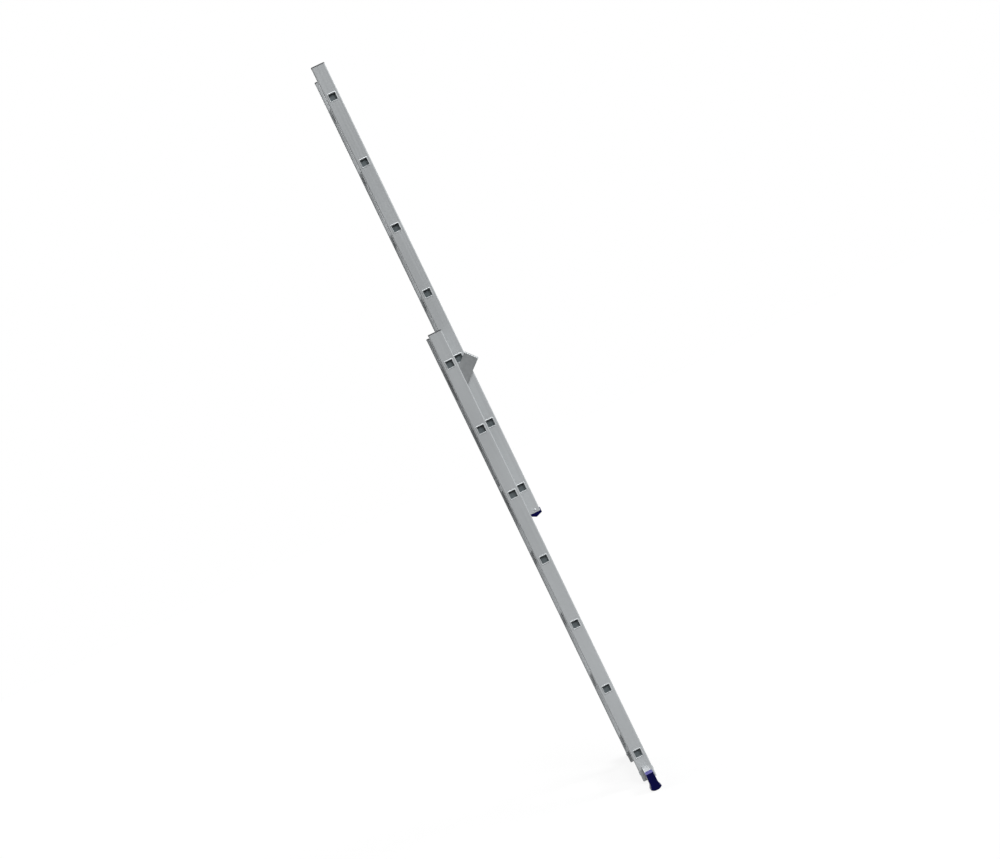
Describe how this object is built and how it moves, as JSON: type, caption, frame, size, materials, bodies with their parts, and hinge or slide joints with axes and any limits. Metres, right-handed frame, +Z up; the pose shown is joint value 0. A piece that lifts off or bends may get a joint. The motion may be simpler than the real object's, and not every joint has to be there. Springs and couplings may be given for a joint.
{
  "type": "two-section ladder",
  "caption": "Aluminium leaning ladder in two sliding sections with swaged square rungs, rung locks, guide brackets and a stabiliser crossbar on flared plastic feet.",
  "frame": {"origin": "on the floor, midway between the two feet of the crossbar, in the middle of the base stiles", "axes": "+Z up along the stiles, -Y the climbing side, +X the climber's right"},
  "size_m": [0.7204, 0.1435, 3.067],
  "materials": {
    "profile_aluminium": "mill-finish satin extrusion",
    "rung_aluminium": "mill-finish satin extrusion",
    "crossbar_aluminium": "mill-finish satin extrusion",
    "lock_aluminium": "cast, satin",
    "bracket_steel": "zinc-plated sheet",
    "fastener_steel": "zinc-plated",
    "foot_plastic": "dark blue moulded plastic",
    "plug_plastic": "dark grey moulded plastic",
    "rung_plug_plastic": "grey moulded plastic"
  },
  "bodies": {
    "base": {"base_stile_left": "profile_aluminium", "base_stile_right": "profile_aluminium", "base_rung_1": "rung_aluminium", "base_rung_2": "rung_aluminium", "base_rung_3": "rung_aluminium", "base_rung_4": "rung_aluminium", "base_rung_5": "rung_aluminium", "base_rung_6": "rung_aluminium", "base_rung_7": "rung_aluminium", "base_rung_plugs": "rung_plug_plastic", "base_top_plug_left": "plug_plastic", "base_top_plug_right": "plug_plastic", "crossbar": "crossbar_aluminium", "crossbar_bolts": "fastener_steel", "crossbar_nuts": "fastener_steel", "crossbar_foot_left": "foot_plastic", "crossbar_foot_right": "foot_plastic", "guide_bracket_left": "bracket_steel", "guide_bracket_right": "bracket_steel", "guide_bracket_rivets": "fastener_steel"},
    "fly": {"fly_stile_left": "profile_aluminium", "fly_stile_right": "profile_aluminium", "fly_rung_1": "rung_aluminium", "fly_rung_2": "rung_aluminium", "fly_rung_3": "rung_aluminium", "fly_rung_4": "rung_aluminium", "fly_rung_5": "rung_aluminium", "fly_rung_6": "rung_aluminium", "fly_rung_7": "rung_aluminium", "fly_rung_plugs": "rung_plug_plastic", "fly_top_plug_left": "plug_plastic", "fly_top_plug_right": "plug_plastic", "fly_foot_left": "foot_plastic", "fly_foot_right": "foot_plastic", "rung_lock_pins": "fastener_steel"},
    "rung_lock_left": {"rung_lock_left": "lock_aluminium"},
    "rung_lock_right": {"rung_lock_right": "lock_aluminium"}
  },
  "joints": [
    {"name": "fly_slide", "type": "slide", "parent": "base", "child": "fly", "axis": [0, 0, 1], "range_m": [-1.12, 0.02]},
    {"name": "lock_left_swing", "type": "hinge", "parent": "fly", "child": "rung_lock_left", "pos_m": [-0.132, -0.028, 1.2772], "axis": [1, 0, 0], "range_deg": [0, 180]},
    {"name": "lock_right_swing", "type": "hinge", "parent": "fly", "child": "rung_lock_right", "pos_m": [0.132, -0.028, 1.2772], "axis": [1, 0, 0], "range_deg": [0, 180]}
  ]
}
